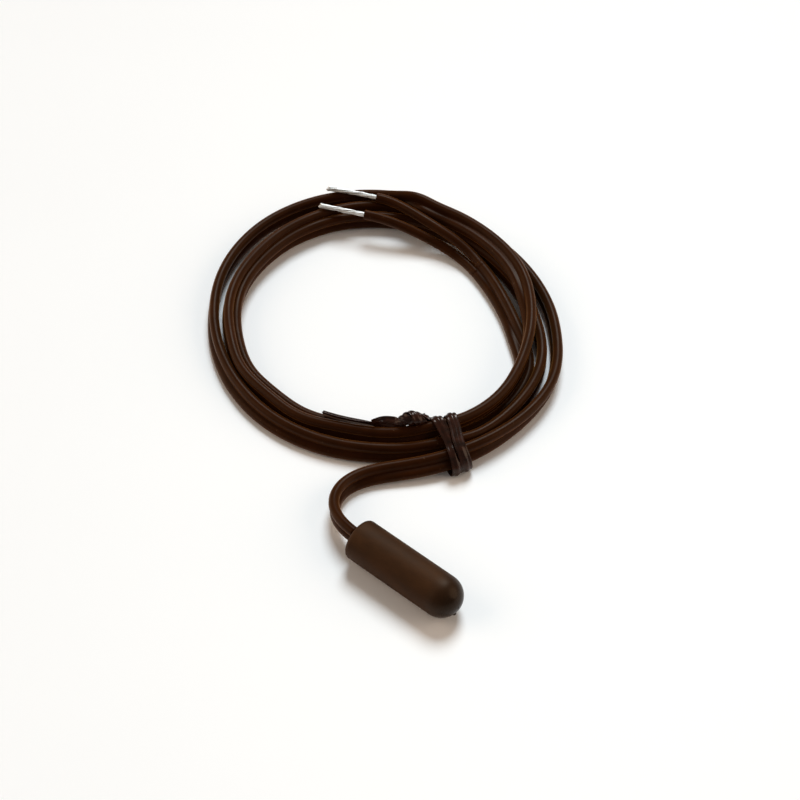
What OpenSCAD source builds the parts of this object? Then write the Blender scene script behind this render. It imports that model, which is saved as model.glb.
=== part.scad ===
// Moulded thermistor probe: a domed resin bulb on a flat twin lead, wound in a loose coil
// and held once by a twist tie. The two cores part near the far end and are stripped bare.
// Origin: on the floor under the middle of the bulb. +X runs along the bulb to its dome, +Z is up.

/* [Bulb] */
// Diameter of the bulb
bulb_d = 6; // [5.4:0.1:7.5]
// Length of the bulb over its dome
bulb_length = 18; // [17:0.5:24]
// Radius round the edge of the cable end
bulb_edge_r = 0.7; // [0.2:0.1:1.2]
// Height of the slight crown on the cable end
bulb_crown = 0.35; // [0.1:0.05:0.8]
// Radius of the small sprue mark on the dome
sprue_r = 0.3; // [0.2:0.05:0.5]

/* [Sensing element] */
// Diameter of the coated bead
bead_d = 2.4; // [2.35:0.05:3.2]
// Length of the coated bead
bead_length = 4; // [3.4:0.1:4.5]
// Resin between the bead and the tip of the dome
bead_cover = 2.4; // [1.6:0.1:3]
// Diameter of the ceramic chip
chip_d = 1.8; // [1.2:0.1:1.9]
// Diameter of the chip's two legs
leg_d = 0.3; // [0.2:0.05:0.4]
// Diameter of a solder joint
solder_d = 1; // [0.9:0.01:1.05]
// Length of a solder joint
solder_length = 2.4; // [1.6:0.1:3]
// Length of a sleeve over a solder joint
sleeve_length = 4.8; // [3.4:0.1:5]
// Wall of a sleeve
sleeve_wall = 0.17; // [0.1:0.01:0.2]
// Length of the lead's insulation held inside the bulb
anchor_length = 4.6; // [3:0.1:5]

/* [Twin lead] */
// Diameter over the insulation of one core, which is also the lead's thickness
core_d = 1.5; // [1.4:0.05:1.6]
// Length of conductor stripped bare at the far end
bare_length = 7; // [3:0.5:12]
// Diameter of one strand of the seven in a conductor
strand_d = 0.25; // [0.15:0.01:0.27]
// Length in which the strands turn once round each other
strand_lay = 6; // [4:0.5:12]

/* [Coil] */
// Outer diameter of the coil
coil_d = 52.6; // [50:0.2:53]
// Turns of the lead in the coil
coil_turns = 3; // [2:1:4]
// Space between neighbouring turns
turn_gap = 0.1; // [0.05:0.05:0.2]

/* [Twist tie] */
// Width of the ribbon
ribbon_w = 1.6; // [1.2:0.1:1.7]
// Thickness of the ribbon's edges
ribbon_edge_t = 0.2; // [0.1:0.05:0.3]
// Thickness of the ribbon over its wire
ribbon_wire_t = 0.45; // [0.35:0.05:0.6]
// Turns of the ribbon round the lead
tie_turns = 2; // [1:1:2]
// Step of the ribbon along the lead for each turn
tie_pitch = 1.75; // [1.75:0.05:2.2]

/* [Fits] */
// Clearance round each piece that the bulb's resin encloses
resin_gap = 0.02; // [0.01:0.005:0.05]
// Clearance between the twist tie and what it holds
tie_gap = 0.12; // [0.1:0.01:0.2]

/* [Hidden] */
$fn = 48;

black = "#20160f";
resin_black = "#241a14";
tin = "#c9c9c6";

// Places along the bulb, measured from its cable end, and how the sprue mark is turned on the dome
bulb_r = bulb_d / 2;
cable_end = -bulb_length / 2;
dome_from_end = bulb_length - bulb_r;
bead_front = bulb_length - bead_cover;
bead_back = bead_front - bead_length;
chip_centre = bead_front - bead_d / 2;
joint_centre = (anchor_length + bead_back) / 2;
core_offset = core_d / 2;
conductor_d = 3 * strand_d;
sprue_turn = [0, 32, -7];
sprue_sunk = sprue_r / 3;
bead_taper = 0.92;

// Parts of the sensing element that follow from the sizes above
chip_t = core_d - leg_d - 2 * resin_gap;
sleeve_bore = solder_d + 2 * resin_gap;
sleeve_d = sleeve_bore + 2 * sleeve_wall;
wire_depth = 0.4 * solder_length;

// The coil's ring and the tie's place on it
coil_r = coil_d / 2;
turn_step = core_d + turn_gap;
coil_inner_r = coil_r - core_d - (coil_turns - 1) * turn_step;
coil_centre = [-23.8, 32.2];
tie_clock = -25;
tie_clearance_z = ribbon_wire_t + 1.5 * tie_gap;
turns_lift = tie_clearance_z + core_d / 4;

// Route of the lead from the bulb to where it joins the coil, measured from the cable end:
// x, y, height of its underside over the floor, lean of its upper core to the right
exit_lift = bulb_r - core_d;
lead_route = [
    [0, 0, exit_lift, 0],
    [-1.7, 0, exit_lift, 0],
    [-3.5, 0.2, 0.85 * exit_lift, 0],
    [-5.2, 1.2, 0.55 * exit_lift, 0],
    [-6.7, 2.6, 0.35 * exit_lift, -5],
    [-7.6, 4.2, 0.2, -10],
    [-7.9, 6.1, 0.05, -18],
    [-7.5, 8.1, 0, -28],
    [-6.4, 10.1, 0, -38],
    [-4.9, 12, 0.05, -45],
    [-3.1, 13.9, 0.2, -48],
    [-1.4, 15.8, 0.45, -48],
    [0.05, 17.9, tie_clearance_z - 0.1, -45],
    [1.4, 20.2, tie_clearance_z, -38],
    [2.5, 22.7, tie_clearance_z - 0.1, -28],
    [3.3, 25.6, 0.4, -12],
    [3.9, 29, 0.1, 0],
    [4.1, 32.4, 0, 8],
    [4, 35.8, 0, 12],
    [3.5, 39, 0, 12],
    [2.2, 42.1, 0, 12],
    [0.3, 45, 0, 12]
];
point_at_tie = 13;

// Route of the lead's end inside the coil, as above
tail_route = [
    [-7.4, 43.9, 0, 45],
    [-9.5, 45.8, 0, 45],
    [-11.9, 47.5, 0, 45],
    [-14.4, 49, 0, 45],
    [-17.1, 50.3, 0, 50],
    [-20, 51.3, 0, 55]
];

// Routes of the two cores beyond the split: x, y, height of the core's underside
upper_core_route = [
    [-22, 52.5, 1.3],
    [-24.2, 52.5, 1.9],
    [-26.4, 52.3, 2.5],
    [-28.8, 52.1, 2.9],
    [-31.4, 52, 3.15],
    [-34, 52, 3.15],
    [-36.2, 51.9, 3.15],
    [-38.2, 51.6, 3.15],
    [-39.6, 51, 3.15]
];
lower_core_route = [
    [-22.6, 51.3, 0.1],
    [-25, 51.4, 0.4],
    [-27.4, 51, 0.9],
    [-29.8, 50.4, 1.5],
    [-32.2, 49.6, 2.2],
    [-34.4, 48.7, 2.8],
    [-36.1, 48.1, 3.1],
    [-37.3, 47.5, 3.15],
    [-38.6, 46.9, 3.15]
];

// How the bare conductors bend from straight on by their tips, in x, y and z
upper_bend = [-0.9, -1.0, -0.1];
lower_bend = [-0.3, -0.4, 0.1];

// Route of the tie's twisted stub and then of its two loose ends, which lean on the inner turns:
// x, y, height of the ribbon's underside when upright, lean of its width to the right
stub_route = [
    [-4.6, 22, 3.8, -90],
    [-4.3, 21.1, 3.95, -40],
    [-5.6, 20.2, 4.1, 50],
    [-6.3, 19.9, 4.1, 140],
    [-6.8, 19.4, 4.1, 230],
    [-7.2, 18.8, 4, 320],
    [-7.8, 18.1, 3.9, 410]
];
blade_route = [
    [-7.6, 18.3, 3.9, 50],
    [-9, 17.2, 3.85, 45],
    [-9.9, 16.4, 3.75, 10],
    [-10.6, 15.7, 3.6, -15]
];
tip_route = [
    [-7.6, 18.3, 3.8, 50],
    [-8.8, 17.2, 3.5, 20],
    [-10.2, 16.1, 3.3, -15],
    [-11.9, 15.2, 3.25, -40],
    [-13.6, 14.4, 3.2, -40],
    [-15.3, 13.7, 3.15, -40],
    [-17.3, 13, 3.15, -40]
];

// Ring of points round one place on a route. across is the lead's narrow way, along its wide way.
function unit(v) = v / norm(v);
function heading(points, i) = unit(points[min(i + 1, len(points) - 1)] - points[max(i - 1, 0)]);
function rightward(t) = unit(cross(t, [0, 0, 1]));
function wide_way(t, lean) = cos(lean) * cross(rightward(t), t) + sin(lean) * rightward(t);
function ring_at(p, t, lean, section) = let (
        wide = wide_way(t, lean),
        narrow = cross(t, wide)
    ) [for (q = section) p + q[0] * narrow + q[1] * wide];
function swept_rings(points, leans, section) = [
    for (i = [0 : len(points) - 1]) each ring_at(points[i], heading(points, i), leans[i], section)
];

// Eight-sided outlines: the flat twin, one round core and the ribbon with its wire
twin_outline = [
    for (side = [1, -1]) for (a = [0, 60, 120, 180])
        [side * core_d / 2 * cos(a), side * (core_d / 2 + core_d / 2 * sin(a))]
];
core_outline = [for (a = [22.5 : 45 : 359]) core_d / 2 * [cos(a), sin(a)]];
function ribbon_outline(edge_t, wire_t) = [
    for (side = [1, -1]) each [
        [side * edge_t / 2, -side * ribbon_w / 2],
        [side * wire_t / 2, -side * ribbon_w / 6],
        [side * wire_t / 2, side * ribbon_w / 6],
        [side * edge_t / 2, side * ribbon_w / 2]
    ]
];
band_outline = ribbon_outline(ribbon_edge_t, ribbon_wire_t);

// Places of the twin's middle and of a core's middle along their routes
function twin_middles(route) = [
    for (q = route) [q[0], q[1], q[2] + core_d / 2 * (1 + cos(q[3]))]
];
function core_middles(route) = [for (q = route) [q[0], q[1], q[2] + core_d / 2]];
function leans_of(route) = [for (q = route) q[3]];
lead_middles = twin_middles(lead_route);
tail_middles = twin_middles(tail_route);
tail_last = len(tail_route) - 1;
split_heading = heading(tail_middles, tail_last);
split_way = wide_way(split_heading, tail_route[tail_last][3]);
function core_from_split(way, route) =
    let (start = tail_middles[tail_last] + way * core_offset * split_way)
        concat([start, start + core_offset * split_heading], core_middles(route));
upper_core_middles = core_from_split(1, upper_core_route);
lower_core_middles = core_from_split(-1, lower_core_route);

// Closed tube through rings of as many points each
module skin(points, sides) {
    rings = len(points) / sides;
    walls = [
        for (i = [0 : rings - 2]) for (k = [0 : sides - 1]) let (
            a = i * sides + k,
            b = i * sides + (k + 1) % sides
        ) each [[a, b, b + sides], [a, b + sides, a + sides]]
    ];
    near = [for (k = [sides - 1 : -1 : 0]) k];
    far = [for (k = [0 : sides - 1]) (rings - 1) * sides + k];
    polyhedron(points = points, faces = concat([near], walls, [far]), convexity = 8);
}

// Everything below that is laid along the bulb is drawn from the cable end, on its axis
module on_bulb_axis() {
    translate([cable_end, 0, bulb_r]) children();
}

module from_cable_end() {
    translate([cable_end, 0, 0]) children();
}

module rod(from, to, d) {
    translate([from, 0, 0]) rotate([0, 90, 0]) cylinder(h = to - from, d = d);
}

module stacked(way) {
    translate([0, 0, way * core_offset]) children();
}

// Outer form of the bulb: crowned cable end with a rounded edge, straight wall, full dome
module bulb_form() {
    crown_rim = bulb_r - bulb_edge_r;
    crown_ball_r = (crown_rim * crown_rim + bulb_crown * bulb_crown) / (2 * bulb_crown);
    rotate([0, 90, 0]) rotate_extrude($fn = 96) {
        translate([0, bulb_crown]) square([crown_rim, bulb_edge_r]);
        translate([crown_rim, bulb_crown + bulb_edge_r]) intersection() {
            circle(bulb_edge_r);
            translate([0, -bulb_edge_r]) square(bulb_edge_r);
        }
        intersection() {
            translate([0, crown_ball_r]) circle(crown_ball_r, $fn = 192);
            square([crown_rim, bulb_crown]);
        }
        translate([0, bulb_crown + bulb_edge_r])
            square([bulb_r, dome_from_end - bulb_crown - bulb_edge_r]);
        translate([0, dome_from_end]) intersection() {
            circle(bulb_r, $fn = 96);
            square(bulb_r);
        }
    }
    translate([dome_from_end, 0, 0]) rotate(sprue_turn) translate([bulb_r - sprue_sunk, 0, 0])
        sphere(sprue_r);
}

// Dipped bead: round nose, body tapering a little to where the legs come out
module bead_form(grow) {
    nose_r = bead_d / 2 + grow;
    back_r = bead_taper * nose_r;
    translate([bead_front - bead_d / 2, 0, 0]) sphere(nose_r);
    translate([bead_back - grow, 0, 0]) rotate([0, 90, 0])
        cylinder(h = bead_length - bead_d / 2 + grow, r1 = back_r, r2 = nose_r);
}

module chip_form(grow) {
    translate([chip_centre, 0, -chip_t / 2 - grow]) cylinder(h = chip_t + 2 * grow, d = chip_d + 2 * grow);
}

module leg_form(way, grow) {
    from = joint_centre + solder_length / 2 - wire_depth;
    stacked(way) rod(from, chip_centre + chip_d / 3 + grow, leg_d + 2 * grow);
}

module conductor_form(way, grow) {
    stacked(way) rod(0, joint_centre - solder_length / 2 + wire_depth, conductor_d + 2 * grow);
}

module sleeve_form(way, grow) {
    reach = sleeve_length / 2 + grow;
    stacked(way) rod(joint_centre - reach, joint_centre + reach, sleeve_d + 2 * grow);
}

// Insulation of the twin: two round cores joined by the web between them
module twin_form(from, to, grow) {
    for (way = [-1, 1]) stacked(way) rod(from, to, core_d + 2 * grow);
    translate([from, -core_d / 2 - grow, -core_offset])
        cube([to - from, core_d + 2 * grow, 2 * core_offset]);
}

module bulb() {
    color(resin_black) on_bulb_axis() difference() {
        bulb_form();
        bead_form(resin_gap);
        for (way = [-1, 1]) {
            leg_form(way, resin_gap);
            conductor_form(way, resin_gap);
            sleeve_form(way, resin_gap);
        }
        twin_form(-1, anchor_length + resin_gap, resin_gap);
    }
}

module bead_coating() {
    color("#2d2a26") on_bulb_axis() difference() {
        bead_form(0);
        chip_form(resin_gap);
        for (way = [-1, 1]) leg_form(way, resin_gap);
    }
}

module thermistor_chip() {
    color("#4a4642") on_bulb_axis() chip_form(0);
}

module leg(way) {
    color(tin) on_bulb_axis() leg_form(way, 0);
}

module solder_joint(way) {
    color("#b9bcbe") on_bulb_axis() difference() {
        stacked(way) rod(joint_centre - solder_length / 2, joint_centre + solder_length / 2, solder_d);
        leg_form(way, resin_gap);
        conductor_form(way, resin_gap);
    }
}

module sleeve(way) {
    color("#e8e2d4") on_bulb_axis() difference() {
        sleeve_form(way, 0);
        stacked(way) rod(0, bulb_length, sleeve_bore);
    }
}

module conductor(way) {
    color(tin) on_bulb_axis() conductor_form(way, 0);
}

module lead_inner_end() {
    color(black) on_bulb_axis() difference() {
        twin_form(0, anchor_length, 0);
        for (way = [-1, 1]) conductor_form(way, resin_gap);
    }
}

module lead_run() {
    color(black) from_cable_end()
        skin(swept_rings(lead_middles, leans_of(lead_route), twin_outline), len(twin_outline));
}

// Outer shape of the coil: its turns stand on edge side by side and rise a little over the tie
module lead_coil() {
    color(black) from_cable_end() difference() {
        translate(coil_centre) rotate_extrude($fn = 144) {
            for (turn = [0 : coil_turns - 1]) for (row = [0, 1])
                translate([coil_r - core_d / 2 - turn * turn_step, core_d / 2 + row * core_d])
                    circle(d = core_d);
            translate([coil_inner_r, core_d / 2]) square([coil_r - coil_inner_r, core_d]);
        }
        at_tie() translate([0, 0, turns_lift / 2 - 1])
            cube([bundle_w + 2, (tie_turns + 1) * tie_pitch + 2 * tie_gap, turns_lift + 2], center = true);
    }
}

module lead_tail() {
    color(black) from_cable_end()
        skin(swept_rings(tail_middles, leans_of(tail_route), twin_outline), len(twin_outline));
}

module split_core(middles) {
    color(black) from_cable_end()
        skin(swept_rings(middles, [for (p = middles) 0], core_outline), len(core_outline));
}

// Seven tinned strands twisted together: six show round the middle one
strand_outline = [
    for (k = [0 : 5]) for (a = [-75, -25, 25, 75])
        strand_d * [cos(60 * k) + cos(60 * k + a) / 2, sin(60 * k) + sin(60 * k + a) / 2]
];
module bare_end(middles, bend) {
    steps = 16;
    last = len(middles) - 1;
    way = heading(middles, last);
    bent = [for (i = [0 : steps]) pow(max(0, i - 1) / (steps - 1), 2)];
    points = [for (i = [0 : steps]) middles[last] + bare_length * i / steps * way + bent[i] * bend];
    leans = [for (i = [0 : steps]) 360 * bare_length / strand_lay * i / steps];
    color(tin) from_cable_end() skin(swept_rings(points, leans, strand_outline), len(strand_outline));
}

// The bundle that the tie holds: the coil's turns and the lead beside them
lead_at_tie = lead_middles[point_at_tie];
lead_lean = lead_route[point_at_tie][3];
lead_at_tie_r = norm([lead_at_tie[0], lead_at_tie[1]] - coil_centre);
bundle_outer_r = lead_at_tie_r + core_d / 2 * (1 + abs(sin(lead_lean)));
bundle_w = bundle_outer_r - coil_inner_r;
bundle_middle_r = (bundle_outer_r + coil_inner_r) / 2;

module at_tie() {
    translate(coil_centre) rotate([0, 0, tie_clock]) translate([bundle_middle_r, 0, 0]) children();
}

// The ribbon's middle line round the bundle: it turns about a core at each of four corners, which
// are the high turn, the lead's two cores and the low inner turn, and runs straight between them.
// Corners are given in the tie's plane, as distance out from the bundle's middle and height.
inner_slack = 0.55;
band_corner_r = core_d / 2 + tie_gap + ribbon_wire_t / 2;
band_low = ribbon_wire_t / 2 + tie_gap / 2;
lead_out = lead_at_tie_r - bundle_middle_r;
band_corners = [
    [-bundle_w / 2 + 0.85 * core_d, tie_clearance_z + 2.35 * core_d],
    [lead_out + core_d / 2 * sin(lead_lean), lead_at_tie[2] + core_d / 2 * cos(lead_lean)],
    [lead_out - core_d / 2 * sin(lead_lean), band_low + band_corner_r],
    [-bundle_w / 2 + core_d / 2 - inner_slack, band_low + band_corner_r]
];
function band_corner(i) = band_corners[(i + 4) % 4];
function outward_of(i) = let (side = band_corner(i + 1) - band_corner(i)) atan2(side[1], side[0]) + 90;
function turned_at(i) = (outward_of(i - 1) - outward_of(i) + 720) % 360;
function on_corner(i, a) = band_corner(i) + band_corner_r * [cos(a), sin(a)];
corner_steps = 4;
side_steps = 3;
band_loop = [
    for (i = [0 : 3]) each concat(
        [
            for (step = [0 : corner_steps])
                let (a = outward_of(i - 1) - turned_at(i) * step / corner_steps) [on_corner(i, a), a]
        ],
        [
            for (step = [1 : side_steps - 1])
                let (a = outward_of(i), from = on_corner(i, a), to = on_corner(i + 1, a))
                    [from + (to - from) * step / side_steps, a]
        ]
    )
];
loop_size = len(band_loop);
function loop_run(i) = i == 0 ? 0
    : loop_run(i - 1) + norm(band_loop[i % loop_size][0] - band_loop[i - 1][0]);

// How the two turns fan out: against turns gone round, the place along the lead in steps of the
// pitch, and how far the ribbon rides over its own first turn in ribbon thicknesses
fan = [
    [0, -0.35], [0.05, -0.17], [0.23, 0.05], [0.36, 0.17], [0.45, 0], [0.6, -0.17], [0.78, -0.05],
    [0.9, 0.5], [1, 1], [1.09, 1.2], [1.2, 1.17], [1.29, 1], [1.37, 0.74], [1.43, 0.65], [1.55, 0.77],
    [1.7, 0.75], [1.82, 0.35], [1.92, -0.35], [2, -0.8]
];
ride = [
    [1.2, 0], [1.29, 0.35], [1.37, 0.75], [1.43, 0.7], [1.52, 0], [1.7, 0], [1.8, 0.7], [1.86, 1.1],
    [2, 1.1]
];
function band_ring(k) = let (
        spot = band_loop[k % loop_size],
        gone = floor(k / loop_size) + loop_run(k % loop_size) / loop_run(loop_size),
        out = [cos(spot[1]), sin(spot[1])],
        middle = spot[0] + ribbon_wire_t * lookup(gone, ride) * out,
        along = tie_pitch * lookup(gone, fan)
    ) [
        for (q = band_outline) let (place = middle + q[0] * out) [place[0], along + q[1], place[1]]
    ];

module tie_band() {
    rings = [for (k = [(2 - tie_turns) * loop_size : 2 * loop_size]) each band_ring(k)];
    at_tie() skin(rings, len(band_outline));
}

// A length of ribbon laid through the rows of a route, with the rows read finely between
rows_between = 4;
module laid_ribbon(route, section) {
    last = len(route) - 1;
    fine = concat(
        [
            for (i = [0 : last - 1]) for (step = [0 : rows_between - 1])
                route[i] + (route[i + 1] - route[i]) * step / rows_between
        ],
        [route[last]]
    );
    points = [for (q = fine) [q[0], q[1], q[2] + ribbon_w / 2]];
    skin(swept_rings(points, leans_of(fine), section), len(section));
}

// The stub is the two ends twisted together, so it is twice as thick as the ribbon
module twist_tie() {
    color("#0d0c0c") from_cable_end() {
        tie_band();
        laid_ribbon(stub_route, ribbon_outline(2 * ribbon_edge_t, 2 * ribbon_wire_t));
        laid_ribbon(blade_route, band_outline);
        laid_ribbon(tip_route, band_outline);
    }
}

bulb();
bead_coating();
thermistor_chip();
leg(1);  // upper_leg
leg(-1);  // lower_leg
solder_joint(1);  // upper_solder_joint
solder_joint(-1);  // lower_solder_joint
sleeve(1);  // upper_sleeve
sleeve(-1);  // lower_sleeve
conductor(1);  // upper_conductor
conductor(-1);  // lower_conductor
lead_inner_end();
lead_run();
lead_coil();
lead_tail();
split_core(upper_core_middles);  // upper_core
split_core(lower_core_middles);  // lower_core
bare_end(upper_core_middles, upper_bend);  // upper_bare_end
bare_end(lower_core_middles, lower_bend);  // lower_bare_end
twist_tie();
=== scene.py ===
import math

import bpy
import numpy as np
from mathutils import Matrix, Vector


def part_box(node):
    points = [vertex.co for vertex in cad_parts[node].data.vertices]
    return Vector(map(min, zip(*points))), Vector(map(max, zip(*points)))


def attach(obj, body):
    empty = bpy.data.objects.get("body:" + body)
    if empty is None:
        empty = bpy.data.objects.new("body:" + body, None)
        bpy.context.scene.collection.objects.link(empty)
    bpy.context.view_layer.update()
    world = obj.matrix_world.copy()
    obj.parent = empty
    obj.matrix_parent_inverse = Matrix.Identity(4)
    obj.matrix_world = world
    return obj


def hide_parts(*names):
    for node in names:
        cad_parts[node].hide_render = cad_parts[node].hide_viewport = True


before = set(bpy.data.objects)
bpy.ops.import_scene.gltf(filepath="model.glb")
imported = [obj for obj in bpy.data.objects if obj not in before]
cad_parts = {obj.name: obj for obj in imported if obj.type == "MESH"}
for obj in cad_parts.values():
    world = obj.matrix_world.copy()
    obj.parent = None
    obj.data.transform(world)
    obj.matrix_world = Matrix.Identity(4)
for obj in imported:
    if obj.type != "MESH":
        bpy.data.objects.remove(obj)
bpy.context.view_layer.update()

# The camera looks down at 50 degrees from over the near side of the coil, a quarter turn past the
# bulb's axis. A long lens from a foot away gives the photograph's mild perspective.
mm = 0.001
view_turn = math.radians(40)
view_rise = math.radians(50)
aimed_at = Vector((-21.5, 24.25, 0)) * mm
view_distance = 290.2 * mm
towards_camera = Vector((math.sin(view_turn) * math.cos(view_rise),
                         -math.cos(view_turn) * math.cos(view_rise),
                         math.sin(view_rise)))
camera = bpy.data.objects.new("camera", bpy.data.cameras.new("camera"))
camera.data.lens = 90
camera.data.sensor_width = 36
camera.data.clip_start = 10 * mm
camera.data.clip_end = 10
camera.location = aimed_at + view_distance * towards_camera
camera.rotation_euler = (math.pi / 2 - view_rise, 0, view_turn)
bpy.context.scene.collection.objects.link(camera)
bpy.context.scene.camera = camera

# The route of the flat twin lead, which is 3.0 by 1.5 mm of soft vinyl over two stranded cores.
# It leaves the bulb, dips to the floor, passes the tie and winds three loose turns that cross and
# nestle before its end lies inside them. Rows give x, y, height of the underside, lean of the
# upper core to the right, in mm and degrees; x is measured from the bulb's cable end.
core_d = 1.5
cable_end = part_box("bulb")[0].x / mm
lead_route = [
    (0, 0, 1.5, 0), (-1.7, 0, 1.5, 0), (-3.5, 0.2, 1.25, 0), (-5.2, 1.2, 0.85, 0),
    (-6.7, 2.6, 0.5, -5), (-7.6, 4.2, 0.2, -10), (-7.9, 6.1, 0.05, -18), (-7.5, 8.1, 0, -28),
    (-6.4, 10.1, 0, -38), (-4.9, 12, 0.05, -45), (-3.1, 13.9, 0.2, -48), (-1.4, 15.8, 0.45, -48),
    (0.05, 17.9, 0.5, -45), (1.4, 20.2, 0.55, -38), (2.5, 22.7, 0.5, -28), (3.3, 25.6, 0.4, -12),
    (3.9, 29, 0.1, 0), (4.1, 32.4, 0, 8), (4, 35.8, 0, 12), (3.5, 39, 0, 12), (2.2, 42.1, 0, 12),
    (0.3, 45, 0, 12),
]
tail_route = [
    (-6.1, 43.5, 0, 50), (-9.0, 45.9, 0, 35), (-11.8, 47.5, 0, 35), (-14.4, 49, 0, 40),
    (-17.1, 50.3, 0, 45), (-20, 51.3, 0, 50),
]
upper_core_route = [
    (-22, 52.5, 1.3), (-24.2, 52.5, 1.9), (-26.4, 52.3, 2.5), (-28.8, 52.1, 2.9),
    (-31.4, 52, 3.15), (-34, 52, 3.15), (-36.2, 51.9, 3.15), (-38.2, 51.6, 3.15),
    (-39.6, 51, 3.15),
]
lower_core_route = [
    (-22.6, 51.3, 0.1), (-25, 51.4, 0.4), (-27.4, 51, 0.9), (-29.8, 50.4, 1.5),
    (-32.2, 49.6, 2.2), (-34.4, 48.7, 2.8), (-36.1, 48.1, 3.1), (-37.3, 47.5, 3.15),
    (-38.6, 46.9, 3.15),
]

# How the three turns lie: degrees gone round from +X, distance from the middle of the turns,
# height of the lead's middle and its outward lean. A turn runs low where it lies on the floor
# and high where it rides over another.
turns_centre = np.array([-33.05, 34.48])
first_turn = [
    (40, 25.0, 1.5, 10), (55, 23.8, 1.5, 5), (70, 23.0, 1.5, 0), (85, 22.5, 1.5, 0),
    (100, 22.5, 1.5, 0), (130, 22.6, 1.8, 0), (150, 22.6, 2.2, 0), (170, 22.6, 2.5, 0),
    (190, 22.7, 2.6, 0), (205, 23.0, 2.6, 0), (220, 23.5, 2.5, 0), (250, 24.2, 2.3, 0),
    (280, 24.5, 2.25, 0), (310, 24.4, 2.6, 0), (325, 24.6, 3.1, 0), (336, 24.6, 3.15, 18),
]
second_turn = [
    (350, 24.2, 3.05, 20), (360, 23.6, 3.1, 12), (370, 22.8, 3.1, 0), (380, 22.3, 3.1, 5),
    (390, 21.8, 3.3, 15), (400, 21.5, 3.5, 30), (415, 21.3, 3.8, 45), (430, 21.0, 3.8, 60),
    (445, 20.8, 3.8, 60), (460, 20.9, 3.7, 50), (475, 21.9, 3.4, 30), (490, 23.6, 2.8, 15),
    (505, 25.1, 2.2, 5), (520, 26.1, 1.8, 0), (535, 26.6, 1.6, 0), (550, 26.5, 1.5, 0),
    (565, 26.2, 1.5, -5), (580, 25.8, 1.5, -10), (595, 25.7, 1.45, -20), (610, 25.8, 1.4, -30),
    (625, 26.1, 1.35, -35), (640, 26.3, 1.4, -35), (655, 26.4, 1.4, -30), (670, 26.4, 1.5, -25),
    (685, 26.8, 1.5, -10), (696, 27.4, 1.5, 0),
]
third_turn = [
    (710, 26.7, 1.5, 0), (720, 26.1, 1.5, 0), (730, 25.7, 1.5, 0), (740, 24.8, 1.5, 0),
    (750, 23.5, 1.5, 0), (760, 22.1, 1.5, 0), (775, 20.8, 1.5, 0), (790, 20.2, 1.5, 0),
    (805, 19.8, 1.5, 0), (820, 19.7, 1.5, 0), (835, 19.9, 1.5, 0), (850, 20.4, 1.5, 0),
    (870, 21.2, 1.5, 0), (890, 21.8, 1.5, 0), (910, 22.3, 1.5, 0), (925, 22.5, 1.5, 0),
    (940, 22.7, 1.5, 0), (955, 22.9, 1.5, 0), (970, 23.1, 1.5, 0), (1000, 23.1, 1.5, 0),
    (1030, 22.9, 1.4, 15), (1045, 23.4, 1.2, 50), (1056, 24.6, 1.1, 75), (1068, 24.5, 0.95, 75),
    (1080, 24.1, 0.9, 75), (1090, 23.6, 0.9, 70), (1100, 22.3, 0.9, 60),
]


def above_floor(route):
    """Route rows as x, y, z and lean: the middle lies above the underside by the leaned half
    height."""
    x, y, under, lean = np.array(route, float).T
    middle = under + core_d / 2 * (1 + np.cos(np.radians(lean)))
    return np.stack([x + cable_end, y, middle, lean], -1)


def round_the_middle(marks):
    """Turn marks as x, y, z and lean: polar places about the middle of the turns."""
    gone, out, z, lean = np.array(marks, float).T
    a = np.radians(gone)
    x, y = turns_centre[0] + out * np.cos(a), turns_centre[1] + out * np.sin(a)
    return np.stack([x, y, z, lean], -1)


def evened(rows, step):
    """The same line with rows a fixed step of length apart, by linear interpolation."""
    lengths = np.linalg.norm(np.diff(rows[:, :3], axis=0), axis=1)
    s = np.concatenate([[0], np.cumsum(lengths)])
    at = np.linspace(0, s[-1], int(round(s[-1] / step)) + 1)
    return np.stack([np.interp(at, s, column) for column in rows.T], -1)


def smoothed(rows, reach, step=0.25):
    """Each row becomes a Gaussian mean of those near it, where reach is the standard deviation;
    turning the ends over keeps them in place."""
    rows = evened(rows, step)
    n = int(4 * reach / step)
    weights = np.exp(-0.5 * (np.arange(-n, n + 1) * step / reach) ** 2)
    longer = np.vstack([2 * rows[0] - rows[n:0:-1], rows, 2 * rows[-1] - rows[-2:-n - 2:-1]])
    weights = weights / weights.sum()
    return np.stack([np.convolve(column, weights, "valid") for column in longer.T], -1)


def unit(v):
    """Each vector divided by its length."""
    return v / np.linalg.norm(v, axis=-1, keepdims=True)


def wide_way(rows):
    """Along rows of x, y, z and lean: the way square to the line that leans so far from upright to
    the right, and the way square to both."""
    heading = unit(np.gradient(rows[:, :3], axis=0))
    right = unit(np.cross(heading, [0.0, 0.0, 1.0]))
    lean = np.radians(rows[:, 3:])
    wide = np.cos(lean) * np.cross(right, heading) + np.sin(lean) * right
    return wide, np.cross(heading, wide)


def parted(rows):
    """The two cores of the twin: half a core's diameter either way from its middle."""
    wide = wide_way(rows)[0]
    return rows[:, :3] + core_d / 2 * wide, rows[:, :3] - core_d / 2 * wide


# The ribbon of the twist tie passes under the lead here and holds it a little off the floor: the
# lead is lifted most at the ribbon and less with distance along it, for this far across.
tie_middle = np.array([-10.2, 20.6])
tie_turned = math.radians(-25)
tie_across = np.array([math.cos(tie_turned), math.sin(tie_turned)])
tie_along = np.array([-math.sin(tie_turned), math.cos(tie_turned)])
tie_lift = 0.55
lift_along = 3
lift_across = 8


def lowest_middle(cores):
    """How low a core's middle can lie: half its diameter, more in a bell shape over the tie's
    ribbon."""
    from_tie = cores[:, :2] - tie_middle
    near = np.abs(from_tie @ tie_across) < lift_across
    return core_d / 2 + near * tie_lift * np.exp(-0.5 * (from_tie @ tie_along / lift_along) ** 2)


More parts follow.
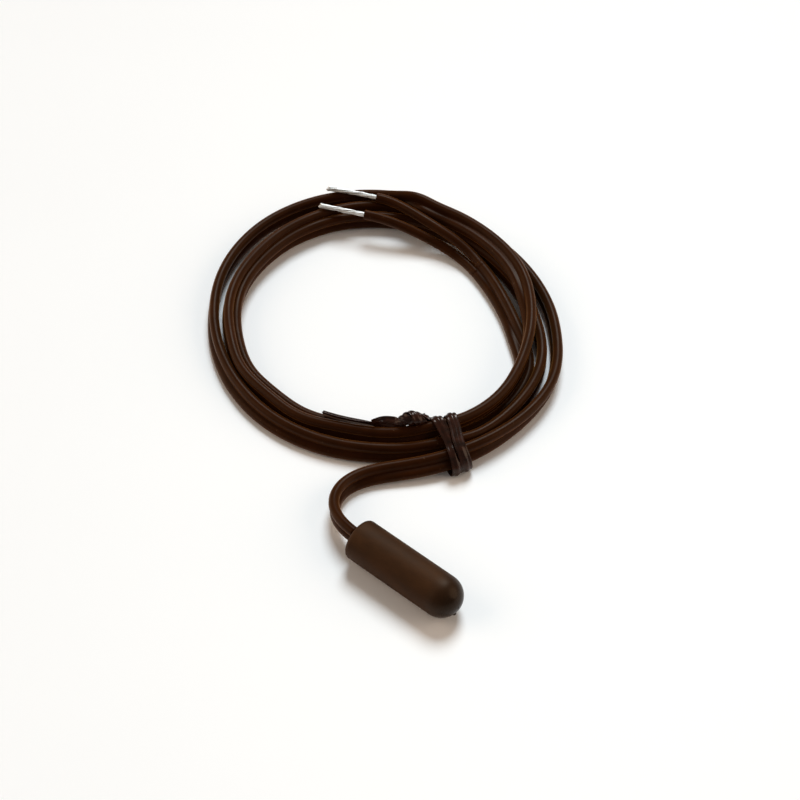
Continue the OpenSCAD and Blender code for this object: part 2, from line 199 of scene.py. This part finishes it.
# How the turns settle. Places on a line nearer than own_points don't push each other, and pairs
# less than watched_gap apart are watched. A push makes up push_share of the lack, a point is drawn
# back by mark_share of its way, and fair_share of the fourth difference is taken out.
settle_rounds = 900
own_points = 8
watched_gap = 0.6
push_share = 1.2
mark_share = 0.012
fair_share = 0.06


def settled(upper, lower, twin_points):
    """Lets the cores settle against each other. In each round every two cores that lie closer than
    a diameter move half the lack apart, each point is drawn a little to its mark and to a fair
    curve by the fourth difference, the twin's cores keep their spacing, and nothing goes below the
    floor."""
    n = len(upper)
    cores = np.vstack([upper, lower])
    marks = cores.copy()
    place = np.concatenate([np.arange(n), np.arange(n)])
    second = np.arange(2 * n) >= n
    parted_now = place > twin_points + 2
    meet = np.abs(place[:, None] - place) > own_points
    meet |= (second[:, None] != second) & parted_now[:, None] & parted_now
    meet = np.triu(meet)
    for k in range(settle_rounds):
        if k % 10 == 0:
            apart = np.zeros((2 * n, 2 * n))
            for column in cores.T:
                apart += (column[:, None] - column) ** 2
            i, j = np.nonzero(meet & (apart < (core_d + watched_gap) ** 2))
        between = cores[i] - cores[j]
        distance = np.linalg.norm(between, axis=1, keepdims=True)
        push = 0.5 * np.maximum(core_d - distance, 0) * between / distance
        touching = (distance < core_d).astype(float)
        total = np.zeros_like(cores)
        count = np.zeros((2 * n, 1))
        for index, way in ((i, 1), (j, -1)):
            np.add.at(total, index, way * push)
            np.add.at(count, index, touching)
        cores += push_share * total / np.maximum(count, 1)
        cores += mark_share * (marks - cores)
        for c in (cores[:n], cores[n:]):
            bend = c[:-4] - 4 * c[1:-3] + 6 * c[2:-2] - 4 * c[3:-1] + c[4:]
            c[2:-2] -= fair_share * bend
        pair = cores[:twin_points] - cores[n:n + twin_points]
        apart_now = np.linalg.norm(pair, axis=1, keepdims=True)
        mend = 0.5 * (core_d - apart_now) * pair / apart_now
        cores[:twin_points] += mend
        cores[n:n + twin_points] -= mend
        cores[:, 2] = np.maximum(cores[:, 2], lowest_middle(cores))
        cores[[0, n]] = marks[[0, n]]
    return cores[:n], cores[n:]


def beyond_split(core, route, points):
    """A core's line carried on past the split: straight on for half a diameter, then its own
    route, with this many more points."""
    x, y, under = np.array(route, float).T
    own = np.stack([x + cable_end, y, under + core_d / 2], -1)
    start = core[-1]
    straight = start + 0.5 * core_d * unit(core[-1] - core[-2])
    line = smoothed(np.vstack([start, straight, own]), core_reach)
    s = np.linspace(0, len(line) - 1, points + 1)[1:]
    beyond = np.stack([np.interp(s, np.arange(len(line)), column) for column in line.T], -1)
    return np.vstack([core, beyond])


# How far the lead's and a core's bends are rounded, and the distance between the lead's points.
twin_reach = 2.2
core_reach = 1.2
point_step = 1.0
turn_marks = round_the_middle(first_turn + second_turn + third_turn)
twin_rows = np.vstack([above_floor(lead_route), turn_marks, above_floor(tail_route)])
twin_rows = evened(smoothed(twin_rows, twin_reach), point_step)
twin_points = len(twin_rows)
upper_line, lower_line = parted(twin_rows)
split_points = 20
upper_line = beyond_split(upper_line, upper_core_route, split_points)
lower_line = beyond_split(lower_line, lower_core_route, split_points)
upper_line, lower_line = settled(upper_line, lower_line, twin_points)


def curved(line, step):
    """The line through the same points as a Catmull-Rom curve, with points a fixed step apart."""
    n = len(line) - 1
    length = np.linalg.norm(np.diff(line, axis=0), axis=1).sum()
    t = np.linspace(0, n, int(round(length / step)) + 1)
    i = np.minimum(t.astype(int), n - 1)
    f = (t - i)[:, None]
    padded = np.vstack([2 * line[0] - line[1], line, 2 * line[-1] - line[-2]])
    p0, p1, p2, p3 = (padded[i + k] for k in range(4))
    square, cube = 2 * p0 - 5 * p1 + 4 * p2 - p3, 3 * (p1 - p2) + p3 - p0
    return p1 + 0.5 * f * (p2 - p0 + f * (square + f * cube))


def carried(name, path, wide, outlines, lengthwise=None):
    """A closed skin: at each point of the path one outline (columns narrow, wide) is set square to
    the path, each ring is joined to the next, and the end rings are capped. The attribute "lie"
    holds the distance along and round in mm, and the share of the way round."""
    heading = unit(np.gradient(path, axis=0)) if lengthwise is None else lengthwise
    wide = unit(wide - (wide * heading).sum(-1, keepdims=True) * heading)
    narrow = np.cross(heading, wide)
    outlines = np.broadcast_to(outlines, (len(path),) + np.shape(outlines)[-2:])
    rings = path[:, None] + outlines[..., :1] * narrow[:, None] + outlines[..., 1:] * wide[:, None]
    rows, columns = rings.shape[:2]
    grid = np.arange(rows * columns).reshape(rows, columns)
    beside = np.roll(grid, -1, axis=1)
    quads = np.stack([grid[:-1], beside[:-1], beside[1:], grid[1:]], -1).reshape(-1, 4)
    mesh = bpy.data.meshes.new(name)
    mesh.from_pydata((rings.reshape(-1, 3) * mm).tolist(), [],
                     quads.tolist() + [grid[0, ::-1].tolist(), grid[-1].tolist()])
    along = np.concatenate([[0], np.cumsum(np.linalg.norm(np.diff(path, axis=0), axis=1))])
    edge = np.linalg.norm(np.diff(outlines[0], axis=0, append=outlines[0][:1]), axis=1)
    around = np.concatenate([[0], np.cumsum(edge)[:-1]])
    lie = np.stack([np.repeat(along, columns), np.tile(around, rows),
                    np.tile(around / edge.sum(), rows)], -1)
    mesh.attributes.new("lie", "FLOAT_VECTOR", "POINT").data.foreach_set("vector", lie.ravel())
    mesh.shade_smooth()
    piece = bpy.data.objects.new(name, mesh)
    bpy.context.scene.collection.objects.link(piece)
    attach(piece, "root")
    return piece


def joined(name, pieces):
    """Several closed skins as one piece."""
    with bpy.context.temp_override(active_object=pieces[0], selected_editable_objects=pieces):
        bpy.ops.object.join()
    pieces[0].name = pieces[0].data.name = name
    return pieces[0]


class Shade:
    """A number or colour that varies over a surface: one output of a material's nodes. Arithmetic
    on it adds Math nodes."""

    def __init__(self, tree, socket=None):
        self.tree, self.socket = tree, socket

    def node(self, kind, settings=None, inputs=None, output=0):
        """Adds a node of this kind, sets its settings, then the values or links of its sockets."""
        made = self.tree.nodes.new(kind)
        for key, value in (settings or {}).items():
            setattr(made, key, value)
        for key, value in (inputs or {}).items():
            if isinstance(value, Shade):
                self.tree.links.new(value.socket, made.inputs[key])
            else:
                made.inputs[key].default_value = value
        return Shade(self.tree, made.outputs[output])

    def reckon(self, operation, *values):
        """One Math node on these values."""
        return self.node("ShaderNodeMath", {"operation": operation}, dict(enumerate(values)))

    def __add__(self, other):
        return self.reckon("ADD", self, other)

    def __sub__(self, other):
        return self.reckon("SUBTRACT", self, other)

    def __mul__(self, other):
        return self.reckon("MULTIPLY", self, other)

    def __rsub__(self, other):
        return self.reckon("SUBTRACT", other, self)

    __radd__ = __add__
    __rmul__ = __mul__

    def between(self, low, high):
        """0 below low, 1 above high and a straight line from one to the other."""
        return self.node("ShaderNodeMapRange", None, {0: self, 1: low, 2: high})

    def blend(self, first, second):
        """The first colour where this is 0 and the second where it is 1."""
        return self.node("ShaderNodeMix", {"data_type": "RGBA"}, {0: self, 6: first, 7: second}, 2)

    def noise(self, scale, detail=2.0, rough=0.5):
        """Cloudy noise read at this place."""
        return self.node("ShaderNodeTexNoise", None,
                         {"Vector": self, "Scale": scale, "Detail": detail, "Roughness": rough})

    def stretched(self, x, y, z):
        """This place with its three numbers multiplied, to draw a pattern out along one of them."""
        return self.node("ShaderNodeVectorMath", {"operation": "MULTIPLY"},
                         {0: self, 1: (x, y, z)})

    def raised(self, height, strength=1.0):
        """Normals of a surface that this number lifts by up to height, in mm."""
        return self.node("ShaderNodeBump", None,
                         {"Height": self, "Distance": height * mm, "Strength": strength})


def surface(name, **constants):
    """A new material: its object coordinates, the attribute "lie" of its piece, and a call that
    sets its shader."""
    material = bpy.data.materials.new(name)
    material.use_nodes = True
    shader = material.node_tree.nodes["Principled BSDF"]
    for key, value in constants.items():
        shader.inputs[key.replace("_", " ")].default_value = value
    start = Shade(material.node_tree)
    place = start.node("ShaderNodeTexCoord", output=3)
    lie = start.node("ShaderNodeAttribute", {"attribute_name": "lie"}, output=1)

    def set_shader(**varying):
        for key, value in varying.items():
            material.node_tree.links.new(value.socket, shader.inputs[key.replace("_", " ")])
        return material

    return place, lie, set_shader


def rgb(red, green, blue):
    """A colour given in the 0 to 255 steps of a screen, as the linear light the shader takes."""
    steps = np.array([red, green, blue]) / 255
    linear = np.where(steps > 0.04045, ((steps + 0.055) / 1.055) ** 2.4, steps / 12.92)
    return (*linear.tolist(), 1.0)


def dressed(piece, material):
    """The piece wears this material all over."""
    piece.data.materials.clear()
    piece.data.materials.append(material)
    return piece


# The finish of the lead: brown-black vinyl, satin from the die, with faint lines drawn along it,
# duller where it has been handled, a few specks of dust and a brown bloom seen at a slant.
def lead_vinyl():
    """Brown vinyl with drawn lines, handled patches and specks."""
    place, lie, set_shader = surface(
        "lead_vinyl", Specular_IOR_Level=0.06, Specular_Tint=(1, 0.8, 0.62, 1),
        Sheen_Weight=0.25, Sheen_Roughness=0.45, Sheen_Tint=(1, 0.4, 0.1, 1))
    drawn = lie.stretched(0.12, 9.0, 0.0).noise(1.0, 4.0)
    handled = place.noise(160.0, 3.0)
    cloud = place.noise(420.0, 2.0)
    speck = place.noise(2600.0, 0.0).between(0.82, 0.84)
    brown = cloud.between(0.3, 0.7).blend(rgb(39, 16, 4), rgb(49, 21, 5))
    brown = (drawn.between(0.35, 0.75) * 0.4).blend(brown, rgb(29, 12, 4))
    colour = (speck * 0.25).blend(brown, rgb(112, 86, 64))
    rough = 0.22 + 0.14 * handled.between(0.35, 0.7) + 0.08 * drawn
    height = drawn * 0.6 + place.noise(2200.0, 2.0) * 0.4
    return set_shader(Base_Color=colour, Roughness=rough, Normal=height.raised(0.012, 0.6))


# The lead itself, one extrusion of two round cores side by side and the thin web between them.
lobe_points = 13
groove_angle = math.radians(48)
lobe_angles = np.linspace(-groove_angle, math.pi + groove_angle, lobe_points)
lobe = core_d / 2 * np.stack([np.cos(lobe_angles), 1 + np.sin(lobe_angles)], -1)
web = np.array([[-0.42, 0.07], [-0.37, 0.0], [-0.42, -0.07]])
twin_outline = np.vstack([lobe, web, -lobe, -web])
fine_step = 0.36
upper_fine = curved(upper_line[:twin_points], fine_step)
lower_fine = curved(lower_line[:twin_points], fine_step)
rings = min(len(upper_fine), len(lower_fine))
share = np.linspace(0, 1, rings)


def resampled(line, shares):
    """The line at these shares of its number of points."""
    at = shares * (len(line) - 1)
    return np.stack([np.interp(at, np.arange(len(line)), column) for column in line.T], -1)


upper_fine, lower_fine = resampled(upper_fine, share), resampled(lower_fine, share)
twin_path = (upper_fine + lower_fine) / 2
twin_lead = carried("twin_lead", twin_path, upper_fine - lower_fine, twin_outline)
vinyl = lead_vinyl()
dressed(twin_lead, vinyl)
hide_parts("lead_run", "lead_coil", "lead_tail")

# The two cores beyond the split, where the web was torn apart by hand. Each is a round tube cut
# off square, with the torn web left as a low ridge, and its tinned strands stand out of the cut.
# The rim's rows are the share of the tube's size and the distance past the cut of each ring.
tube_sides = 24
tube_play = 0.004
tube_angles = np.linspace(0, 2 * math.pi, tube_sides, endpoint=False)
tube_outline = (core_d / 2 - tube_play) * np.stack([np.cos(tube_angles), np.sin(tube_angles)], -1)
tube_step = 0.3
torn_ridge = 0.09
torn_ridge_spread = 0.16
rim = np.array([(0.985, 0.04), (0.93, 0.06), (0.62, 0.05), (0.56, 0.0), (0.5, -0.8)])
bare_length = 7.0
strand_start = -0.7
strand_d = 0.25
strand_lay = 6.0
strand_points = 64
strand_sides = 8


def split_core(name, line, ridge_way):
    """A round tube along the line, with a ridge on the side that faced the other core, closed by a
    rounded rim and a bore that ends inside."""
    path = curved(line, tube_step)
    ridge = torn_ridge * np.exp(-((tube_angles - ridge_way) / torn_ridge_spread) ** 2)
    tube = tube_outline * (1 + ridge / (core_d / 2))[:, None]
    steps = len(path)
    sizes = np.concatenate([np.ones(steps), rim[:, 0]])
    on = np.concatenate([np.zeros(steps), rim[:, 1]])
    last = unit(path[-1] - path[-2])
    path = np.vstack([path, np.repeat(path[-1:], len(rim), axis=0)]) + on[:, None] * last
    heading = unit(np.gradient(path[:steps], axis=0))
    heading = np.vstack([heading, np.repeat(heading[-1:], len(rim), axis=0)])
    side = np.tile(np.array([0.0, 0.0, 1.0]), (len(path), 1))
    return carried(name, path, side, tube[None] * sizes[:, None, None], heading)


def strands(name, start, way, bend, stray, seed):
    """Seven tinned strands, six wound round one. A strand's middle runs on a helix of one strand's
    diameter about the bundle's line, which bends by a square law. The last fifth spreads a little,
    and a stray strand stands out halfway in a bell shape."""
    chance = np.random.default_rng(seed)
    s = np.linspace(strand_start, bare_length, strand_points)
    side = unit(np.cross(way, [0.0, 0.0, 1.0]))
    above = np.cross(side, way)
    turn = np.linspace(0, 2 * math.pi, strand_sides + 1)[:-1]
    round_wire = strand_d / 2 * np.stack([np.cos(turn), np.sin(turn)], -1)
    made = []
    for k in range(7):
        length_share = 1 - 0.05 * chance.random()
        own = np.clip(s * length_share, strand_start, None)
        bent = (np.clip(own, 0, None) / bare_length)[:, None] ** 2 * bend
        line = start + own[:, None] * way + bent
        out = 0.0 if k == 6 else strand_d * 0.97
        angle = 2 * math.pi * own / strand_lay + k * math.pi / 3 + 0.12 * chance.normal()
        spread = 1 + 0.35 * np.clip(own / bare_length - 0.8, 0, None) * chance.random() / 0.2
        if k == stray:
            spread = spread + 1.1 * np.exp(-((own - 0.52 * bare_length) / 0.5) ** 2)
        wander = 0.02 * np.sin(own * (1.3 + chance.random()) + 6 * chance.random())
        radius = (out * spread + wander)[:, None]
        line = line + radius * (np.cos(angle)[:, None] * side + np.sin(angle)[:, None] * above)
        wide = np.tile(above, (len(line), 1))
        made.append(carried(f"{name}_{k}", line, wide, round_wire))
    return joined(name, made)


def tinned_strand():
    """Bright tin with duller clouds and fine lines along the strand."""
    place, lie, set_shader = surface("tinned_strand", Metallic=1.0)
    dull = place.noise(1500.0, 3.0)
    drawn = lie.stretched(1.5, 20.0, 0.0).noise(1.0, 3.0)
    colour = dull.between(0.35, 0.7).blend(rgb(246, 245, 242), rgb(206, 200, 192))
    rough = 0.28 + 0.25 * dull + 0.08 * drawn
    return set_shader(Base_Color=colour, Roughness=rough, Normal=(dull + drawn).raised(0.01, 0.5))


tinned = tinned_strand()
pieces_on_lead = []
for which, line, ridge_way, bend, stray in (
        ("upper", upper_line, 1.5 * math.pi, (-0.9, -1.0, -0.1), -1),
        ("lower", lower_line, 0.5 * math.pi, (-0.3, -0.4, 0.1), 1)):
    core = split_core(f"{which}_core_tube", line[twin_points - 2:], ridge_way)
    dressed(core, vinyl)
    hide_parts(f"{which}_core")
    way = unit(line[-1] - line[-3])
    wires = strands(f"{which}_strands", line[-1], way, np.array(bend), stray, 7)
    dressed(wires, tinned)
    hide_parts(f"{which}_bare_end")
    pieces_on_lead += [core, wires]


# The twist tie: a black plastic ribbon moulded over one soft steel wire, so it is thick in the
# middle and thin at its edges. It is wound twice round the lead, its ends are twisted together
# inside the coil and lean on the inner turns. The first rows of band and ends lie in the twist.
ribbon_w = 1.6
ribbon_edge_t = 0.16
ribbon_wire_t = 0.54
ribbon_rib = 0.27
ribbon_points = 15
ribbon_step = 0.16
tie_turns = 2
tie_pitch = 1.75
tie_gap = 0.05
band_start = math.radians(160)
band_rows = 150
band_planes = 7
band_rows_in_twist = 17
end_rows_in_twist = 6


def ribbon_section():
    """The ribbon's outline: thin flat edges rounded by a high power of the place across, and a
    round rib over the wire by a bell-shaped swell."""
    y = ribbon_w / 2 * np.sin(np.linspace(-math.pi / 2, math.pi / 2, ribbon_points))
    half = ribbon_edge_t / 2 + (ribbon_wire_t - ribbon_edge_t) / 2 * np.exp(-(y / ribbon_rib) ** 4)
    half = half * np.sqrt(np.clip(1 - (np.abs(y) / (ribbon_w / 2)) ** 12, 0.12, 1))
    return np.vstack([np.stack([half, y], -1), np.stack([-half, y], -1)[::-1]])


def where_crossed(offset):
    """Places, as distance across the tie and height, where the lead's cores cross the upright plane
    that lies this far along from the tie's middle."""
    found = []
    for line in (upper_line, lower_line):
        from_tie = line[:, :2] - tie_middle
        ahead = from_tie @ tie_along - offset
        near = np.abs(from_tie @ tie_across) < lift_across
        at = np.nonzero((ahead[:-1] * ahead[1:] < 0) & near[:-1] & near[1:])[0]
        share = (ahead[at] / (ahead[at] - ahead[at + 1]))[:, None]
        across = from_tie @ tie_across
        places = np.stack([across, line[:, 2]], -1)
        found.append(places[at] + share * (places[at + 1] - places[at]))
    return np.vstack(found)


def drawn_tight(offset, reach, count):
    """The line of a band pulled tight over equal circles round those places: for each outward
    direction the circle that lies farthest out, then points evenly spaced from the upper inner
    side."""
    places = where_crossed(offset)
    angle = band_start - np.linspace(0, 2 * math.pi, 1441)
    outward = np.stack([np.cos(angle), np.sin(angle)], -1)
    farthest = (places @ outward.T).argmax(0)
    rows = np.hstack([places[farthest] + reach * outward, outward])
    s = np.concatenate([[0], np.cumsum(np.linalg.norm(np.diff(rows[:, :2], axis=0), axis=1))])
    at = np.linspace(0, s[-1], count)
    return np.stack([np.interp(at, s, column) for column in rows.T], -1)


# How its two turns lie, against turns gone round. The fan is the place along the lead in steps of
# the pitch. The ride is how far the ribbon stands off in thicknesses: in a slack loop where each
# turn goes under the lead, and where it rides over its own first turn.
fan = [
    (0, -0.35), (0.05, -0.17), (0.23, 0.05), (0.36, 0.17), (0.45, 0), (0.6, -0.17), (0.78, -0.05),
    (0.9, 0.5), (1, 1), (1.09, 1.2), (1.2, 1.17), (1.29, 1), (1.37, 0.74), (1.43, 0.65),
    (1.55, 0.77), (1.7, 0.75), (1.82, 0.4), (1.92, 0), (2, -0.4),
]
ride = [
    (0.38, 0), (0.48, 1.1), (0.55, 1.2), (0.64, 0), (1.2, 0), (1.29, 0.35), (1.37, 0.9),
    (1.47, 1.5), (1.55, 1.2), (1.64, 0), (1.79, 0), (1.87, 0.7), (1.93, 0.9), (2, 0.4),
]


def wound_band():
    """The ribbon's middle round the lead and the way of its width, which lies along the lead. The
    tight lines of several planes are read between them."""
    offsets = np.linspace(-1.5, 1.5, band_planes) * tie_pitch
    reach = core_d / 2 + tie_gap + ribbon_wire_t / 2
    lines = np.stack([drawn_tight(offset, reach, band_rows + 1) for offset in offsets])
    gone = np.linspace(0, tie_turns, tie_turns * band_rows + 1)
    along = tie_pitch * np.interp(gone, *np.transpose(fan))
    over = ribbon_wire_t * np.interp(gone, *np.transpose(ride))
    spot = (gone % 1) * band_rows
    plane = np.interp(along, offsets, np.arange(len(offsets)))
    i = np.minimum(plane.astype(int), len(offsets) - 2)
    j = np.minimum(spot.astype(int), band_rows - 1)
    u, v = (plane - i)[:, None], (spot - j)[:, None]
    row = ((1 - u) * ((1 - v) * lines[i, j] + v * lines[i, j + 1])
           + u * ((1 - v) * lines[i + 1, j] + v * lines[i + 1, j + 1]))
    row = row[:, :2] + over[:, None] * row[:, 2:]
    on_floor = tie_middle + row[:, :1] * tie_across + along[:, None] * tie_along
    place = np.column_stack([on_floor, row[:, 1]])
    return np.hstack([place, np.tile([*tie_along, 0.0], (len(place), 1))])


# Its stub and its two loose ends: x, y, height of the underside when upright, lean of the width.
stub_route = [
    (-4.9, 21.2, 3.8, -90), (-5.1, 20.6, 3.9, -40), (-5.8, 19.9, 4.2, 50), (-6.4, 19.4, 4.4, 140),
    (-6.9, 18.85, 4.3, 230), (-7.3, 18.4, 3.9, 320), (-7.7, 17.9, 3.6, 410),
]
blade_route = [
    (-7.5, 18.1, 3.75, 50), (-9, 17.1, 3.75, 45), (-9.9, 16.4, 3.7, 10), (-10.6, 15.7, 3.6, -15),
]
tip_route = [
    (-7.5, 18.1, 3.55, 50), (-8.7, 17.0, 3.2, 20), (-10.2, 16.0, 3.2, -15),
    (-11.9, 15.2, 3.25, -40), (-13.6, 14.4, 3.2, -40), (-15.3, 13.7, 3.15, -40),
    (-17.3, 13, 3.15, -40),
]


def laid_ribbon(route, aside=0):
    """A length of ribbon laid through the rows of a route, as places and ways of its width. The two
    ribbons of the stub lie a little to either side of its line, most in its middle."""
    rows = smoothed(np.array(route, float) + [cable_end, 0, ribbon_w / 2, 0], 0.3, 0.1)
    wide, narrow = wide_way(rows)
    loose = 0.28 + 0.6 * np.sin(np.linspace(0, math.pi, len(rows)))[:, None]
    return np.hstack([rows[:, :3] + aside * loose * narrow, wide])


def following(first, rows):
    """Width directions flipped where they would turn round from one row to the next."""
    rows = rows.copy()
    last = first
    for row in rows:
        if row[3:] @ last < 0:
            row[3:] = -row[3:]
        last = row[3:]
    return rows


def tie_ribbon():
    """The whole ribbon from tip to tip: one loose end, stub, band, stub, the other loose end, made
    fair by a short Gaussian mean of its places and of its width's way, and kept above the floor."""
    band = wound_band()[band_rows_in_twist:]
    blade, tip = laid_ribbon(blade_route), laid_ribbon(tip_route)
    start_side = np.vstack([laid_ribbon(stub_route, -1), blade[end_rows_in_twist:]])
    end_side = np.vstack([laid_ribbon(stub_route, 1), tip[end_rows_in_twist:]])
    start_side = following(band[0, 3:], start_side)[::-1]
    end_side = following(band[-1, 3:], end_side)
    rows = smoothed(np.vstack([start_side, band, end_side]), 0.22, 0.1)
    rows = evened(rows, ribbon_step)
    rows[:, 2] = np.maximum(rows[:, 2], ribbon_wire_t / 2)
    return carried("twist_tie_ribbon", rows[:, :3], rows[:, 3:], ribbon_section())


def tie_plastic():
    """Red-brown plastic, glossy, creased where it was bent."""
    place, lie, set_shader = surface(
        "tie_plastic", Specular_IOR_Level=0.3, Specular_Tint=(1, 0.84, 0.74, 1))
    crease = place.noise(900.0, 3.0)
    drawn = lie.stretched(0.2, 6.0, 0.0).noise(1.0, 3.0)
    colour = crease.between(0.35, 0.7).blend(rgb(28, 13, 8), rgb(52, 24, 13))
    return set_shader(Base_Color=colour, Roughness=0.13 + 0.2 * crease,
                      Normal=(crease + drawn * 0.5).raised(0.02, 0.6))


ribbon = dressed(tie_ribbon(), tie_plastic())
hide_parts("twist_tie")
pieces_on_lead.append(ribbon)
(twin_path[::3] * mm).tolist()


# The bulb, moulded in one go over the bead and the lead's end: brown-black resin, matt from a fine
# sand-blasted mould, with cloudy flow marks and a smoother dome whose darker colour is a painted
# reflection.
def bulb_resin():
    """Matt resin with flow marks and pits; the dome smoother, with a painted dark reflection."""
    place, lie, set_shader = surface(
        "bulb_resin", Specular_IOR_Level=0.15, Specular_Tint=(1, 0.78, 0.58, 1))
    grain = place.noise(2400.0, 3.0)
    flow = place.stretched(0.5, 1.0, 1.0).noise(420.0, 3.0, 0.6)
    pits = place.noise(5200.0, 1.0).between(0.68, 0.78)
    forward = place.node("ShaderNodeSeparateXYZ", None, {0: place})
    dome = (forward + 0.6 * mm * flow).between(5.2 * mm, 8.6 * mm)
    matt = flow.between(0.3, 0.72).blend(rgb(47, 26, 10), rgb(63, 37, 17))
    # The dome's darker colour is a painted dark reflection; its lower roughness is real.
    colour = dome.blend(matt, rgb(33, 21, 13))
    rough = (0.54 + 0.16 * flow) * (1 - 0.62 * dome)
    height = (grain * 0.7 + flow * 0.6 - pits * 0.6) * (1 - 0.7 * dome)
    return set_shader(Base_Color=colour, Roughness=rough, Normal=height.raised(0.02, 0.6))


dressed(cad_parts["bulb"], bulb_resin())


# What the resin holds: the dipped bead on its ceramic chip, two tinned legs soldered to the lead's
# stripped conductors under thin sleeves, and the anchored end of the lead.
def dipped_epoxy():
    """Near-black epoxy, glossy and a little uneven."""
    place, lie, set_shader = surface("bead_epoxy", Specular_IOR_Level=0.5)
    cloud = place.noise(900.0, 3.0)
    colour = cloud.blend(rgb(30, 26, 24), rgb(48, 42, 38))
    return set_shader(Base_Color=colour, Roughness=0.12 + 0.2 * cloud,
                      Normal=cloud.raised(0.03, 0.5))


def sintered_ceramic():
    """Dark grey grainy ceramic."""
    place, lie, set_shader = surface("chip_ceramic")
    grain = place.noise(6000.0, 4.0, 0.7)
    colour = grain.blend(rgb(52, 47, 44), rgb(86, 79, 73))
    return set_shader(Base_Color=colour, Roughness=0.6 + 0.3 * grain,
                      Normal=grain.raised(0.02, 0.8))


def drawn_wire():
    """Tinned wire with fine lines along it."""
    place, lie, set_shader = surface("tinned_wire", Metallic=1.0)
    lines = place.stretched(0.05, 1.0, 1.0).noise(9000.0, 3.0)
    colour = lines.blend(rgb(206, 204, 200), rgb(168, 164, 158))
    return set_shader(Base_Color=colour, Roughness=0.2 + 0.3 * lines,
                      Normal=lines.raised(0.006, 0.6))


def flowed_solder():
    """Grey solder with a frosted skin."""
    place, lie, set_shader = surface("solder", Metallic=1.0)
    frost = place.noise(3200.0, 4.0, 0.6)
    colour = frost.blend(rgb(188, 190, 192), rgb(140, 141, 142))
    return set_shader(Base_Color=colour, Roughness=0.15 + 0.4 * frost,
                      Normal=frost.raised(0.02, 0.7))


def thin_sleeve():
    """Cream plastic sleeve, faintly cloudy."""
    place, lie, set_shader = surface("sleeve_plastic", Specular_IOR_Level=0.5)
    cloud = place.stretched(0.2, 1.0, 1.0).noise(2600.0, 3.0)
    colour = cloud.blend(rgb(228, 220, 202), rgb(206, 196, 176))
    return set_shader(Base_Color=colour, Roughness=0.3 + 0.25 * cloud,
                      Normal=cloud.raised(0.01, 0.5))


inside = {
    dipped_epoxy: ("bead_coating",),
    sintered_ceramic: ("thermistor_chip",),
    drawn_wire: ("upper_leg", "lower_leg", "upper_conductor", "lower_conductor"),
    flowed_solder: ("upper_solder_joint", "lower_solder_joint"),
    thin_sleeve: ("upper_sleeve", "lower_sleeve"),
}
for finish, names in inside.items():
    material = finish()
    for node_name in names:
        dressed(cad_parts[node_name], material)
dressed(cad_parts["lead_inner_end"], vinyl)


# A white table that runs on past the picture, a cool soft lamp behind the coil, a warm one to
# either side and a dim room, together as bright as plain white light on the table.
def table_top():
    """Plain white, faintly cloudy."""
    place, lie, set_shader = surface("table_top", Specular_IOR_Level=0.12)
    cloud = place.noise(30.0, 2.0)
    white = cloud.blend((0.965, 0.965, 0.965, 1), (0.98, 0.98, 0.98, 1))
    return set_shader(Base_Color=white, Roughness=0.3 + 0.06 * cloud)


table_half = 6.0
floor_mesh = bpy.data.meshes.new("floor")
floor_mesh.from_pydata([(-table_half, -table_half, 0), (table_half, -table_half, 0),
                        (table_half, table_half, 0), (-table_half, table_half, 0)],
                       [], [(0, 1, 2, 3)])
floor = bpy.data.objects.new("floor", floor_mesh)
bpy.context.scene.collection.objects.link(floor)
dressed(floor, table_top())


def lamp(name, turn, rise, spread, strength, colour):
    """A far soft lamp, turned and raised as seen from the coil, that looks this many degrees
    wide."""
    light = bpy.data.lights.new(name, "SUN")
    light.energy, light.color, light.angle = strength, colour, math.radians(spread)
    lamp_object = bpy.data.objects.new(name, light)
    lamp_object.rotation_euler = (math.pi / 2 - math.radians(rise), 0, math.radians(turn))
    bpy.context.scene.collection.objects.link(lamp_object)


lamp("lamp_behind", 210, 52, 26, 2.46, (0.84, 0.94, 1.0))
lamp("lamp_left", 305, 27, 50, 1.0, (1.0, 0.78, 0.6))
lamp("lamp_right", 125, 27, 50, 1.0, (1.0, 0.78, 0.6))

world = bpy.data.worlds.new("room")
bpy.context.scene.world = world
world.use_nodes = True
background = world.node_tree.nodes["Background"]
background.inputs["Color"].default_value = (1, 0.93, 0.86, 1)
background.inputs["Strength"].default_value = 0.19
bpy.context.scene.view_settings.view_transform = "Standard"
